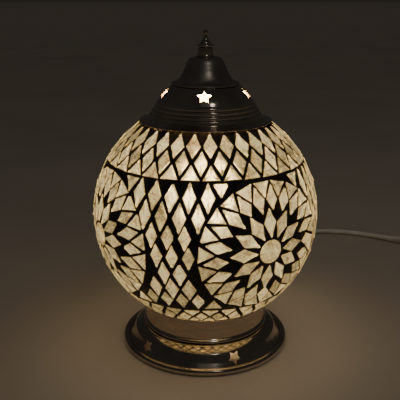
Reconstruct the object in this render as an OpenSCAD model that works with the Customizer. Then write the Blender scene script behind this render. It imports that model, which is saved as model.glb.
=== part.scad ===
// Table lamp with a mosaic glass globe, a lift-off cap and a pierced base.
// Millimetres, +Z up. The origin is on the table, under the middle of the globe.
// Azimuths run from the front (-Y) towards +X, latitudes from the globe's equator.

/* [Globe] */
// Outside diameter of the mosaic
globe_d = 200; // [196:1:204]
// Height of the globe's centre above the table
globe_z = 124.5; // [124:0.5:126]
// Wall of the blown glass
glass_wall = 3; // [2:0.5:4]
// Radius of the opening under the cap
mouth_r = 45; // [40:1:48]

/* [Mosaic] */
// Tiles in each row of the top and bottom bands
band_count = 32; // [28:1:34]
// Azimuth of the first rosette
rosette_first = 31; // [20:1:40]
// Angle from one rosette to the next; the last gap takes what is left
rosette_step = 88.5; // [88:0.5:90]
// Latitude of the rosettes' centres
rosette_lat = -3.5; // [-5:0.5:-2]

/* [Metal] */
// Outside radius of the collar under the globe
collar_r = 55.5; // [55:0.5:56]
// Thickness of the spun sheet
sheet = 1; // [0.8:0.1:1.2]
// Star cut-outs in the base
base_stars = 5; // [3:1:5]
// Star cut-outs in the cap
cap_stars = 5; // [4:1:6]
// Angle from the cap's front star to the stars on each side of it; the rest share what is left
cap_star_gap = 77; // [72:1:80]

/* [Bulb] */
// Diameter of the bulb's glass
bulb_d = 60; // [45:1:60]
// Height of the bulb's widest point
bulb_z = 145; // [143:1:147]

/* [Cord] */
// Diameter of the mains cord
cord_d = 6; // [5:0.5:6]

/* [Hidden] */

$fn = 96;
metal = [0.10, 0.09, 0.08];
steel = [0.62, 0.62, 0.60];
brass = [0.78, 0.62, 0.32];
cream = [0.86, 0.78, 0.60];
black_grout = [0.05, 0.045, 0.04];
phenolic = [0.08, 0.07, 0.07];
white = [0.90, 0.90, 0.88];

// ---- Globe and mosaic ----
globe_r = globe_d / 2;
glass_r = globe_r - 3.5;
bed_r = glass_r + 0.6;
grout_r = globe_r - 0.7;
tile_back = bed_r + 0.05;
tile_t = globe_r - tile_back;
foot_r = 42;
top_line = 30.5;
bottom_line = -37.4;

// ---- Base ----
collar_top = globe_z - sqrt(pow(globe_r, 2) - pow(collar_r, 2)) + 0.1;
collar_in = collar_r - sheet;
spigot_r = collar_in - 0.1;
rim_c = [74.2, 3.1];
rim_r = 3.1;
base_star_r = 66.7;
base_star_z = 10.3;
exit_z = 11.5;
exit_y = 104;

// ---- Bridge and lampholder ----
strap_z = 34;
strap_t = 2;
nut_h = 3;
tube_z0 = 29.5;
tube_z1 = 45.5;
tube_out = 5;
tube_bore = 3.9;
holder_z = 42.1;
core_z = 62;
holder_top = 92;
socket_r = 13.6;

// ---- Cap: heights are above the globe's centre ----
rod_r = 3;
ledge = 114.2;
ridges = 4;

// ---- Bulb ----
bulb_r = bulb_d / 2;
bulb_base = bulb_z + bulb_r - 110;
shell_r = 13.2;

// ---- Cord ----
cord_r = cord_d / 2;
switch_at = [291, 206];
switch_turn = -45;
switch_len = 58;
switch_w = 26;
entry = 4;
entry_z = 9;
pivot_z = 12.5;
rocker_tilt = 9;
coil_at = [284, 122];
coil_out = 45.6;
coil_in = 21.4;
coil_lift = 0.4;
coil_top = 12.4;
plug_at = [326.5, 76];
plug_z = 6.85;
lead_route = [[0, 104, 11.5], [0, 118, 11.3], [1, 132, 8.4], [4, 147, 4.8], [10, 165, 3],
    [22, 190, 3], [40, 217, 3], [64, 242, 3], [94, 264, 3], [127, 277, 3], [161, 281, 3],
    [193, 277, 3], [222, 266, 3], [246, 249, 4.4], [259, 238, 7.2]];
link_route = [[321, 175, 6.6], [325, 165, 4], [326.6, 152, 3.4], [326.6, 137, 3.4]];
tail_route = [[326.5, 122, 9.4], [326.5, 108, 8.2], [326.5, 96, 6.9]];

// ---- Functions ----
function unit(v) = v / norm(v);
function reverse(list) = [for (i = [len(list) - 1:-1:0]) list[i]];
// Points on a circle from angle a to angle b
function arc(c, r, a, b, n) = [for (i = [0:n]) let (t = a + (b - a) * i / n) c + r * [cos(t), sin(t)]];
// A closed outline of thickness t to the right of a line of points
function wall(line, t) = concat(line, reverse([for (i = [0:len(line) - 1])
    let (a = line[max(i - 1, 0)], b = line[min(i + 1, len(line) - 1)], d = unit(b - a))
    line[i] + t * [d.y, -d.x]]));
function star(r) = [for (i = [0:9]) (i % 2 == 0 ? r : 0.55 * r) * [sin(36 * i), cos(36 * i)]];
function kite(up, down, half) = [[0, up], [half, 0], [0, -down], [-half, 0]];
function wedge(up, down, half) = [[0, up], [half, -down], [-half, -down]];
function arc_mm(deg) = globe_r * sin(deg);
function rosette_az(k) = rosette_first + rosette_step * k;
function last_gap() = 360 - 3 * rosette_step;
function band_az(k) = k < 3 ? rosette_az(k) + rosette_step / 2 : rosette_az(3) + last_gap() / 2;
// Points of a Catmull-Rom curve through a route, n to a span
function along(p, n) = let (m = len(p) - 1) concat([for (i = [0:m - 1], j = [0:n - 1])
    let (t = j / n, a = p[max(i - 1, 0)], b = p[i], c = p[i + 1], d = p[min(i + 2, m)])
    0.5 * (2 * b + (c - a) * t + (2 * a - 5 * b + 4 * c - d) * t * t
    + (3 * b - a - 3 * c + d) * t * t * t)], [p[m]]);

// ---- Shared shapes ----
// A round bar along a path that never runs parallel to side
module tube(path, r, side, sides = 10) {
    n = len(path);
    rings = [for (i = [0:n - 1])
        let (t = unit(path[min(i + 1, n - 1)] - path[max(i - 1, 0)]),
            u = unit(cross(t, side)), v = cross(t, u))
        for (k = [0:sides - 1]) path[i] + r * (cos(360 * k / sides) * u + sin(360 * k / sides) * v)];
    sides_faces = [for (i = [0:n - 2], k = [0:sides - 1])
        let (a = i * sides, b = a + sides, q = (k + 1) % sides) [a + k, b + k, b + q, a + q]];
    start = [[for (k = [0:sides - 1]) k]];
    end = [[for (k = [sides - 1:-1:0]) (n - 1) * sides + k]];
    polyhedron(rings, concat(sides_faces, start, end), convexity = 10);
}

module spun(outline) {
    rotate_extrude() polygon(outline);
}

module on_globe(az, lat) {
    translate([0, 0, globe_z]) rotate([0, 0, az]) rotate([90 - lat, 0, 0]) children();
}

module in_rosette(k, psi, rho) {
    on_globe(rosette_az(k), rosette_lat) rotate([0, 0, -psi]) rotate([-rho, 0, 0]) children();
}

module tile(outline) {
    translate([0, 0, tile_back]) linear_extrude(tile_t) polygon(outline);
}

module band_row(lat, shift, outline) {
    for (i = [0:band_count - 1]) on_globe((i + shift) * 360 / band_count, lat) tile(outline);
}

// The outer rings of a rosette are a little lower than wide
function oval(rho, psi) = rho * (1 - 0.06 * pow(cos(psi), 2));

// A zone of the globe between two latitudes and two radii
module zone(r0, r1, lat0, lat1) {
    steps = ceil(abs(lat1 - lat0) / 2);
    translate([0, 0, globe_z])
        spun(concat(arc([0, 0], r1, lat0, lat1, steps), arc([0, 0], r0, lat1, lat0, steps)));
}

module stars(angles, r, z, tilt, size, turn) {
    for (angle = angles) rotate([0, 0, angle]) translate([0, -r, z])
        rotate([90 - tilt, 0, 0]) rotate([0, 0, turn]) linear_extrude(12, center = true)
            polygon(star(size));
}

module at_switch() {
    translate([switch_at.x, switch_at.y, 0]) rotate([0, 0, switch_turn]) children();
}

function switch_end(side) = [for (i = [0:1]) switch_at[i]
    + side * (switch_len / 2 + entry) * [cos(switch_turn), sin(switch_turn)][i]];

module rounded_plate(x, y, r, h) {
    linear_extrude(h) {
        square([x - 2 * r, y], center = true);
        square([x, y - 2 * r], center = true);
        for (a = [-1, 1], b = [-1, 1]) translate([a * (x / 2 - r), b * (y / 2 - r)]) circle(r, $fn = 32);
    }
}

module hex_nut(af, bore, h) {
    difference() {
        cylinder(h = h, d = af / cos(30), $fn = 6);
        translate([0, 0, -1]) cylinder(h = h + 2, r = bore, $fn = 48);
    }
}

// ---- Base ----
base_line = concat([[spigot_r, 27.5], [spigot_r, 20.8], [spigot_r + 0.8, 20.1], [57.4, 20],
    [58.7, 19.7], [59.4, 19.1], [61, 18.2], [62.8, 17], [64.4, 15.7], [65.6, 13.6], [66.8, 10.6],
    [68, 8], [69.2, 6.4], [70.6, 5.9]], arc(rim_c, rim_r, 130, -50, 9),
    [[75.8, 0], [72.6, 0]], arc(rim_c, rim_r, -140, -185, 2));

module base_flange() {
    color(metal) difference() {
        spun(wall(base_line, sheet));
        stars([for (i = [0:base_stars - 1]) 22 + i * 360 / base_stars],
            base_star_r, base_star_z, 28, 6.6, 180);
        translate([0, 50, exit_z]) rotate([-90, 0, 0]) cylinder(h = 22, r = 4.5, $fn = 48);
    }
}

module base_collar() {
    line = concat([[collar_r, collar_top], [collar_r, 25.2]],
        [[collar_r + 0.9, 24.4], [collar_r + 1.5, 23.4], [collar_r + 1.5, 22.6],
        [collar_r + 0.9, 21.8], [collar_r, 21.3]]);
    color(metal) spun(wall(line, sheet));
}

module bridge_bar() {
    color(steel) difference() {
        intersection() {
            translate([0, 0, strap_z - 6]) cylinder(h = 8, r = collar_in - 0.05);
            union() {
                translate([-60, -10, strap_z]) cube([120, 20, strap_t]);
                for (s = [-1, 1]) translate([s * (collar_in - 1.2) - 1.5, -10, strap_z - 6])
                    cube([3, 20, 7]);
            }
        }
        translate([0, 0, strap_z - 1]) cylinder(h = 4, r = tube_out + 0.1, $fn = 48);
    }
}

module threaded_tube() {
    color(brass) translate([0, 0, tube_z0]) difference() {
        cylinder(h = tube_z1 - tube_z0, r = tube_out, $fn = 48);
        translate([0, 0, -1]) cylinder(h = 20, r = tube_bore, $fn = 48);
    }
}

module tube_nuts() {
    for (z = [strap_z - nut_h, strap_z + strap_t + 1])
        color(steel) translate([0, 0, z]) hex_nut(14, tube_out + 0.02, nut_h);
}

module lock_washer() {
    color(steel) translate([0, 0, strap_z + strap_t]) difference() {
        cylinder(h = 1, r = 9, $fn = 48);
        translate([0, 0, -1]) cylinder(h = 3, r = tube_out + 0.1, $fn = 48);
    }
}

// ---- Lampholder ----
module holder_dome() {
    line = [[tube_out + 0.05, holder_z], [9, holder_z], [12.4, 43.6], [15, 47], [16.4, 52], [16.4, core_z]];
    color(phenolic) spun(wall(reverse(line), -2));
}

module holder_core() {
    color([0.85, 0.83, 0.78]) difference() {
        union() {
            translate([0, 0, core_z + 0.05]) cylinder(h = 1.4, r = 18.3, $fn = 64);
            translate([0, 0, core_z - 6]) cylinder(h = 6.1, r = 15, $fn = 64);
        }
        for (s = [-1, 1]) translate([s * 9, 0, core_z - 7]) cylinder(h = 5, r = 1.6, $fn = 32);
    }
}

module holder_shell() {
    color(phenolic) translate([0, 0, 56]) difference() {
        cylinder(h = holder_top - 56, r = 20);
        translate([0, 0, -1]) cylinder(h = 8.6, r = 18.5);
        translate([0, 0, -1]) cylinder(h = 60, r = socket_r);
    }
}

module centre_contact() {
    color(brass) translate([0, 0, core_z + 1.45]) cylinder(h = 1.2, r = 3.5, $fn = 32);
}

module side_contact() {
    color(brass) translate([-3, 10.9, core_z + 1.45]) cube([6, 1.2, 4]);
}

module terminal_screws() {
    for (s = [-1, 1]) color(brass) translate([s * 9, 0, core_z - 9]) {
        cylinder(h = 6, r = 1.55, $fn = 32);
        cylinder(h = 2, r = 2.8, $fn = 32);
    }
}

module core_wire(side) {
    path = along([[side * 1.5, 0, 44.2], [side * 1.8, 0, 46.4], [side * 4.6, 0, 48.8],
        [side * 8.2, 0, 50.2], [side * 9, 0, 52.6]], 3);
    tube(path, 1.1, [0, 1, 0], 8);
}

module wire_live() { color([0.45, 0.24, 0.12]) core_wire(1); }

module wire_neutral() { color([0.15, 0.30, 0.60]) core_wire(-1); }

module inner_lead() {
    bend = 24;
    path = concat([[0, exit_y, exit_z], [0, 80, exit_z], [0, 58, exit_z], [0, 46, 10], [0, 35, 7.2]],
        [for (a = [0:15:90]) [0, bend * (1 - sin(a)), 30 - bend * cos(a)]], [[0, 0, 36], [0, 0, 44]]);
    color(white) tube(path, cord_r, [1, 0, 0]);
}

module cord_bush() {
    line = [[cord_r + 0.05, 56], [4.4, 56], [4.4, 69.6], [5, 69.6], [5, 71.4], [4.6, 72.4],
        [4.2, 88], [3.7, exit_y], [cord_r + 0.05, exit_y]];
    color(white) translate([0, 0, exit_z]) rotate([-90, 0, 0]) spun(line);
}

// ---- Globe ----
module bedding_ring() {
    a = acos((spigot_r - 0.4) / glass_r);
    b = acos((foot_r + 3) / glass_r);
    color([0.80, 0.78, 0.74]) translate([0, 0, globe_z]) spun(concat(
        [for (i = [0:4]) (glass_r + 0.02) * [cos(a + (b - a) * i / 4), -sin(a + (b - a) * i / 4)]],
        [for (r = [foot_r + 3, spigot_r - 0.4]) [r, strap_z + strap_t + 0.1 - globe_z]]));
}

module glass_globe() {
    inner = glass_r - glass_wall;
    color([0.90, 0.85, 0.70, 0.5]) translate([0, 0, globe_z]) difference() {
        sphere(glass_r);
        sphere(inner);
        translate([0, 0, 50]) cylinder(h = 60, r = mouth_r);
        translate([0, 0, -110]) cylinder(h = 60, r = foot_r);
    }
}

module grout() {
    color(black_grout) {
        zone(glass_r + 0.02, bed_r, -acos((collar_r + 0.3) / glass_r), 60.5);
        zone(glass_r + 0.02, grout_r, 55.6, 57.6);
        zone(glass_r + 0.02, grout_r, top_line - 0.4, top_line + 0.4);
        zone(glass_r + 0.02, grout_r, bottom_line - 0.4, bottom_line + 0.4);
        zone(glass_r + 0.02, grout_r, -acos((collar_r + 0.3) / grout_r), -53.4);
    }
}

module top_diamonds() {
    color(cream) {
        band_row(48, 0.25, kite(arc_mm(6.9), arc_mm(6.6), 5.6));
        band_row(39.4, 0.75, kite(arc_mm(5.8), arc_mm(6.3), 5.5));
    }
}

module top_triangles() {
    color(cream) band_row(34, 0.25, wedge(arc_mm(4.4), arc_mm(2.8), 7.3));
}

// Rows of the lattice between two rosettes: tiles, pitch, shift, latitude, half height, half width
lattice_rows = [[5, 8.9, -0.7, 23.3, 6.7, 5.4], [4, 8.7, -0.4, 14.2, 6.6, 5.4], [3, 7.9, -1.3, 5.2, 5.6, 5],
    [3, 7.6, 0.7, -4.1, 5.7, 4.9], [2, 7.8, 0.1, -12.8, 5.9, 5.1], [3, 8.7, -0.7, -21.6, 6.2, 5.6],
    [4, 8.7, -0.8, -29.6, 5.2, 5.2]];
// Triangles in the corners beside each rosette: angle from it, latitude, apex, base, half width
corner_tiles = [[-23.6, 26.2, -3.2, -3.5, 6.4], [21.8, 26.2, -3.2, -3.5, 6.4], [-26.8, -32.4, 3.7, 2.7, 6.6],
    [25.6, -32.4, 3.7, 2.7, 6.6]];

module lattice_tiles() {
    for (k = [0:3], row = lattice_rows, i = [0:row[0] - 1]) {
        squeeze = k < 3 ? 0.79 : 1;
        az = band_az(k) + squeeze * (row[1] * (i - (row[0] - 1) / 2) + row[2]);
        color(cream) on_globe(az, row[3])
            tile(kite(arc_mm(row[4]), arc_mm(row[4]), row[5] * squeeze));
    }
    for (k = [0:3], c = corner_tiles) color(cream) on_globe(rosette_az(k) + c[0], c[1])
        tile(wedge(arc_mm(c[2]), arc_mm(c[3]), c[4]));
}

module rosette_discs() {
    for (k = [0:3]) color(cream) in_rosette(k, 0, 0) translate([0, 0, tile_back])
        cylinder(h = tile_t, r = 10.3, $fn = 48);
}

module rosette_inner() {
    color(cream) for (k = [0:3], i = [0:11])
        in_rosette(k, (i - 0.03) * 30, 13.6) tile(kite(arc_mm(6.4), arc_mm(6.4), 5.4));
}

// A middle petal is shorter the nearer it comes to the point of an inner one
module rosette_middle() {
    color(cream) for (k = [0:3], i = [0:20])
        let (psi = (i + 0.33) * 360 / 21, off = abs((psi + 15.9) % 30 - 15))
            in_rosette(k, psi, oval(25.9, psi)) tile(kite(arc_mm(6.8), arc_mm(4.1 + 0.2 * off), 5.5));
}

module rosette_outer() {
    color(cream) for (k = [0:3], i = [0:20])
        let (psi = (i + 0.83) * 360 / 21)
            in_rosette(k, psi, oval(31.4, psi)) tile(wedge(-arc_mm(4.6), -arc_mm(3.3), 7.7));
}

module bottom_triangles() {
    color(cream) {
        band_row(-40.5, 0.25, wedge(-arc_mm(3.6), -arc_mm(2.5), 6.6));
        band_row(-50, 0.25, wedge(arc_mm(3), arc_mm(2.6), 4.6));
    }
}

module bottom_diamonds() {
    color(cream) band_row(-45.6, 0.75, kite(arc_mm(5.3), arc_mm(5.6), 5));
}

// ---- Cap ----
function ridge(i) = let (r = 40.6 + 2 * i, z = 100.6 - 3.25 * i)
    [[r, z], [r + 1.5, z - 0.9], [r + 2.1, z - 2.1], [r + 2, z - 2.9]];
cap_line = concat([[rod_r + 0.6, ledge], [29.4, ledge], [30.6, 112.9], [33, 110.9], [35.5, 108.4],
    [38, 105.3], [39.8, 102.4]], [for (i = [0:ridges - 1]) each ridge(i)],
    [[48.6, 87.4], [50.6, 86.4], [53.4, 85.4], [56, 84.8], [57.3, 84.4], [57.7, 83.8], [57.3, 83.2]]);
bell_line = [[rod_r + 0.6, 137.4], [11, 137.4], [13.4, 136.4], [15.4, 134], [16.8, 130.8], [19, 125.2],
    [22.4, 119.6], [25, 117.2], [27.4, 116.2], [28.6, 115.5], [29, 114.9], [29, 114.25]];

module cap_dome() {
    share = (360 - 2 * cap_star_gap) / (cap_stars - 2);
    angles = [-2, each [for (i = [0:cap_stars - 2]) cap_star_gap - 2 + i * share]];
    color(metal) translate([0, 0, globe_z]) difference() {
        spun(wall(cap_line, sheet));
        stars(angles, 35.6, 108.2, 40, 6.2, 0);
    }
}

module cap_bell() {
    color(metal) translate([0, 0, globe_z]) spun(wall(bell_line, sheet * 0.6));
}

module cap_neck() {
    line = [[rod_r + 0.1, 137.45], [7.2, 137.45], [6.9, 138.6], [6.4, 139.6], [6.5, 144], [6.2, 145],
        [rod_r + 0.1, 145]];
    color(metal) translate([0, 0, globe_z]) spun(line);
}

module cap_rod() {
    color(steel) translate([0, 0, globe_z + 107.5]) cylinder(h = 40.5, r = rod_r, $fn = 48);
}

module cap_nut() {
    color(steel) translate([0, 0, globe_z + 108]) hex_nut(10, rod_r + 0.02, 4);
}

module cap_washer() {
    color(steel) translate([0, 0, globe_z + 112]) difference() {
        cylinder(h = 1.15, r = 9, $fn = 48);
        translate([0, 0, -1]) cylinder(h = 4, r = rod_r + 0.1, $fn = 48);
    }
}

module finial() {
    hole = rod_r + 0.05;
    line = concat([[hole, 145.15], [5.8, 145.15]], arc([5.5, 146.6], 1.35, -75, 75, 6),
        [[5, 148.4], [4.4, 149.6], [3, 151.2], [2, 153], [1.5, 154.6]],
        arc([0, 157.4], 2.2, -48, 90, 8), [[0, 148.6], [hole, 148.6]]);
    color(metal) translate([0, 0, globe_z]) spun(line);
}

// ---- Bulb ----
function bulb_line(t) = concat(arc([0, bulb_z], bulb_r - t, 90, -20, 10),
    [[25.4 - t, bulb_z - 17.5], [20.4 - t, bulb_z - 27], [16.6 - t, bulb_z - 37],
    [14.4 - t, bulb_z - 46], [shell_r + 0.6 - t, bulb_z - 52]]);

module bulb_glass() {
    color([0.98, 0.95, 0.85, 0.6]) spun(concat(bulb_line(0), reverse(bulb_line(0.6))));
}

module bulb_shell() {
    color(steel) difference() {
        translate([0, 0, bulb_base + 3.5]) cylinder(h = 24.5, r = shell_r, $fn = 64);
        translate([0, 0, bulb_base + 4.2]) cylinder(h = 30, r = shell_r - 0.7, $fn = 64);
    }
}

module bulb_insulator() {
    color([0.10, 0.10, 0.12]) translate([0, 0, bulb_base]) spun([[0, 0.8], [5, 0.8], [9.6, 3.5], [0, 3.5]]);
}

module bulb_tip() {
    color(steel) translate([0, 0, bulb_base]) cylinder(h = 0.8, r = 4, $fn = 32);
}

module bulb_stem() {
    color([0.9, 0.9, 0.9, 0.5]) translate([0, 0, bulb_base + 26]) cylinder(h = 30, r = 4, $fn = 32);
}

module bulb_filaments() {
    for (i = [0:3]) color([1, 0.85, 0.45]) rotate([0, 0, 90 * i + 45]) translate([8, 0, bulb_z - 18])
        cylinder(h = 34, r = 1, $fn = 16);
    color([1, 0.85, 0.45]) for (i = [0:3]) rotate([0, 0, 90 * i + 45])
        translate([3, -0.5, bulb_z - 19]) cube([5.5, 1, 1]);
}

// ---- Cord ----
module cord_lead() {
    route = concat(lead_route, [concat(switch_end(-1), entry_z)]);
    color(white) tube(along(route, 2), cord_r, [0, 0, 1]);
}

module cord_link() {
    route = concat([concat(switch_end(1), entry_z)], link_route, [[coil_at.x + 42.5, coil_at.y, 3.4]]);
    color(white) tube(along(route, 2), cord_r, [0, 0, 1]);
}

module cord_tail() {
    route = concat(tail_route, [[plug_at.x, plug_at.y + 8, plug_z]]);
    color(white) tube(along(route, 2), cord_r, [0, 0, 1]);
}

module cord_coil() {
    h = coil_top - coil_lift;
    color(white) translate([coil_at.x, coil_at.y, coil_lift]) difference() {
        cylinder(h = h, r = coil_out);
        translate([0, 0, -1]) cylinder(h = h + 2, r = coil_in);
    }
}

module coil_tie() {
    gap = 0.3;
    t = 0.35;
    color(phenolic) translate([coil_at.x - coil_out - t - gap, coil_at.y - 2.5, 0]) difference() {
        cube([coil_out - coil_in + 2 * (t + gap), 5, coil_top + t + gap]);
        translate([t, -1, t]) cube([coil_out - coil_in + 2 * gap, 7, coil_top + gap - t]);
    }
}

// ---- Switch on the cord ----
module entries(r, z0, z1) {
    for (s = [-1, 1]) translate([s * (switch_len / 2 + entry / 2 - 0.6), 0, (z0 + z1) / 2]) intersection() {
        translate([0, 0, entry_z - (z0 + z1) / 2]) rotate([0, 90, 0])
            cylinder(h = entry + 1.2, r = r, center = true, $fn = 48);
        cube([20, 20, z1 - z0], center = true);
    }
}

module cord_way() {
    translate([0, 0, entry_z]) rotate([0, 90, 0])
        cylinder(h = switch_len + 20, r = cord_r + 0.1, center = true, $fn = 48);
}

module switch_posts(z, h) {
    for (s = [-1, 1]) translate([s * 18, s * 8, z]) cylinder(h = h, r = 3, $fn = 32);
}

module switch_holes(r) {
    for (s = [-1, 1]) translate([s * 18, s * 8, -1]) cylinder(h = 15.5, r = r, $fn = 32);
}

module switch_base() {
    color(white) at_switch() difference() {
        union() {
            difference() {
                rounded_plate(switch_len, switch_w, 8, entry_z);
                translate([0, 0, 1.6]) rounded_plate(switch_len - 3.6, switch_w - 3.6, 6.2, 20);
            }
            switch_posts(1, entry_z - 1);
            entries(5.5, 2, entry_z);
        }
        cord_way();
        switch_holes(1.55);
        for (s = [-1, 1]) translate([s * 18, s * 8, -1]) cylinder(h = 3, r = 2.9, $fn = 32);
    }
}

module switch_cover() {
    top = 17;
    color(white) at_switch() difference() {
        union() {
            difference() {
                translate([0, 0, entry_z + 0.02]) rounded_plate(switch_len, switch_w, 8, top - entry_z);
                translate([0, 0, entry_z - 1])
                    rounded_plate(switch_len - 3.6, switch_w - 3.6, 6.2, top - entry_z - 0.6);
            }
            switch_posts(entry_z + 0.02, top - entry_z - 1);
            entries(5.5, entry_z + 0.02, entry_z + 6);
            for (s = [-1, 1]) translate([-3.5, s * 8 - 1.2, pivot_z - 3]) cube([7, 2.4, 6.6]);
        }
        cord_way();
        switch_holes(1.48);
        translate([-11.4, -6.5, entry_z]) cube([22.8, 13, 20]);
        translate([0, 0, pivot_z]) rotate([90, 0, 0]) cylinder(h = 17.6, r = 1.55, center = true, $fn = 48);
    }
}

module switch_rocker() {
    color([0.86, 0.86, 0.84]) at_switch() translate([0, 0, pivot_z]) rotate([0, rocker_tilt, 0]) {
        rotate([90, 0, 0]) linear_extrude(12, center = true)
            polygon([[-10, 5.6], [-5, 4.7], [0, 4.4], [5, 4.7], [10, 5.6], [10, 1], [6, -2.2], [-6, -2.2],
                [-10, 1]]);
        rotate([90, 0, 0]) cylinder(h = 17, r = 1.5, center = true, $fn = 48);
    }
}

module switch_contacts() {
    for (s = [-1, 1]) color(brass) at_switch() translate([s * 9.5 - 3, 6, 1.6]) cube([6, 2.5, 5]);
}

module switch_screws() {
    for (s = [-1, 1]) color(steel) at_switch() translate([s * 18, s * 8, 0.4]) {
        cylinder(h = 12.6, r = 1.48, $fn = 32);
        cylinder(h = 1.5, r = 2.8, $fn = 32);
    }
}

// ---- Plug ----
module plug_body() {
    side = [[-4.5, 0], [-6.5, -5], [-13, -16], [-15.5, -22], [-17.6, -28], [-17.6, -36],
        [17.6, -36], [17.6, -28], [15.5, -22], [13, -16], [6.5, -5], [4.5, 0]];
    face = [[-17.7, 0], [-12.5, 6.85], [12.5, 6.85], [17.7, 0], [12.5, -6.85], [-12.5, -6.85]];
    color(white) translate([plug_at.x, plug_at.y, plug_z]) difference() {
        union() {
            intersection() {
                translate([0, 0, -7]) linear_extrude(14) polygon(side);
                rotate([90, 0, 0]) linear_extrude(40) polygon(face);
            }
            translate([0, 8, 0]) rotate([90, 0, 0]) cylinder(h = 12, r = 4.4, $fn = 48);
        }
        for (s = [-1, 1]) translate([s * 9.3, -31, 0]) rotate([90, 0, 0])
            cylinder(h = 8, r = 2.02, $fn = 32);
    }
}

module plug_pins() {
    for (s = [-1, 1]) color(brass)
        translate([plug_at.x + s * 9.3, plug_at.y - 31, plug_z]) rotate([90, 0, 0]) {
        cylinder(h = 15, r = 1.45, $fn = 32);
        translate([0, 0, 15]) cylinder(h = 7.6, r = 2, $fn = 32);
        translate([0, 0, 22.6]) cylinder(h = 1.4, r1 = 2, r2 = 1.1, $fn = 32);
    }
}

module plug_sleeves() {
    for (s = [-1, 1]) color(phenolic)
        translate([plug_at.x + s * 9.3, plug_at.y - 31, plug_z]) rotate([90, 0, 0])
        difference() {
            cylinder(h = 15, r = 2, $fn = 32);
            translate([0, 0, -1]) cylinder(h = 17, r = 1.46, $fn = 32);
        }
}

base_flange();
base_collar();
bridge_bar();
threaded_tube();
tube_nuts();
lock_washer();
holder_dome();
holder_core();
holder_shell();
centre_contact();
side_contact();
terminal_screws();
wire_live();
wire_neutral();
inner_lead();
cord_bush();
bedding_ring();
glass_globe();
grout();
top_diamonds();
top_triangles();
lattice_tiles();
rosette_discs();
rosette_inner();
rosette_middle();
rosette_outer();
bottom_triangles();
bottom_diamonds();
cap_dome();
cap_bell();
cap_neck();
cap_rod();
cap_nut();
cap_washer();
finial();
bulb_glass();
bulb_shell();
bulb_insulator();
bulb_tip();
bulb_stem();
bulb_filaments();
cord_lead();
cord_link();
cord_tail();
cord_coil();
coil_tie();
switch_base();
switch_cover();
switch_rocker();
switch_contacts();
switch_screws();
plug_body();
plug_pins();
plug_sleeves();
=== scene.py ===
import math
import random

import bmesh
import bpy
import numpy as np
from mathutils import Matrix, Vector


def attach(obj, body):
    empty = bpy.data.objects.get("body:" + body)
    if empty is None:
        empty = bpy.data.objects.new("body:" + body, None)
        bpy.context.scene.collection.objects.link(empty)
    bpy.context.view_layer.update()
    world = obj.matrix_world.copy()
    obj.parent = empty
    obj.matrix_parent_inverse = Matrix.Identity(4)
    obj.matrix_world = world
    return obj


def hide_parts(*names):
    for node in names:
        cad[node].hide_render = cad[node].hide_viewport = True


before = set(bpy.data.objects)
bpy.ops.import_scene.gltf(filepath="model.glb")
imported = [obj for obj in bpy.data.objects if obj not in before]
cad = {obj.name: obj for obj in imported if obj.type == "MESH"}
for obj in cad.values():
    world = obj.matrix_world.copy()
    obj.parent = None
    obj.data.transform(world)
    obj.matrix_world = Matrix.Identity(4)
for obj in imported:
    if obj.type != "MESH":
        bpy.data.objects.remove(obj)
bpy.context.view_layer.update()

dice = random.Random(7)
scene = bpy.context.scene

# All shapes are worked out in mm and stored in metres
MM = 0.001
GLOBE_Z = 124.5         # height of the globe's centre
TILE_R = 100            # from the globe's centre to the faces of the tiles
GLASS_R = 96.5          # outside of the blown globe
GLASS_WALL = 3
SHEET = 0.9             # spun metal of base, collar and cap
SHARP = 35              # an edge bent by more degrees than this stays crisp

# ---------------------------------------------------------------- camera, placed in metres
cam_data = bpy.data.cameras.new("camera")
cam_data.lens = 59.8
cam_data.sensor_width = 36
cam = bpy.data.objects.new("camera", cam_data)
cam.location = (-0.0047, -0.574, 0.3125)
cam.rotation_euler = (math.radians(72.78), 0, 0)
scene.collection.objects.link(cam)
scene.camera = cam


# ---------------------------------------------------------------- material tools
def new_material(name):
    mat = bpy.data.materials.new(name)
    mat.use_nodes = True
    return mat, mat.node_tree, mat.node_tree.nodes["Principled BSDF"]


def add_node(tree, kind, **values):
    added = tree.nodes.new(kind)
    for key, value in values.items():
        added.inputs[key].default_value = value
    return added


def object_space(tree):
    return tree.nodes.new("ShaderNodeTexCoord").outputs["Object"]


def ramp(tree, source, stops):
    added = tree.nodes.new("ShaderNodeValToRGB")
    elements = added.color_ramp.elements
    while len(elements) < len(stops):
        elements.new(0.5)
    for element, (position, color) in zip(elements, stops):
        element.position = position
        element.color = (*color, 1)
    tree.links.new(source, added.inputs[0])
    return added.outputs[0]


def span(tree, source, low, high, source_range=(0.3, 0.7)):
    """Stretches the part of the source that lies in source_range over low to high."""
    added = tree.nodes.new("ShaderNodeMapRange")
    for i, value in enumerate((*source_range, low, high)):
        added.inputs[i + 1].default_value = value
    tree.links.new(source, added.inputs[0])
    return added.outputs[0]


def combine(tree, operation, first, second):
    added = tree.nodes.new("ShaderNodeMath")
    added.operation = operation
    tree.links.new(first, added.inputs[0])
    tree.links.new(second, added.inputs[1])
    return added.outputs[0]


def bumpy(tree, shader, height, strength, distance):
    added = add_node(tree, "ShaderNodeBump", Strength=strength, Distance=distance)
    tree.links.new(height, added.inputs["Height"])
    tree.links.new(added.outputs[0], shader.inputs["Normal"])


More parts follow.
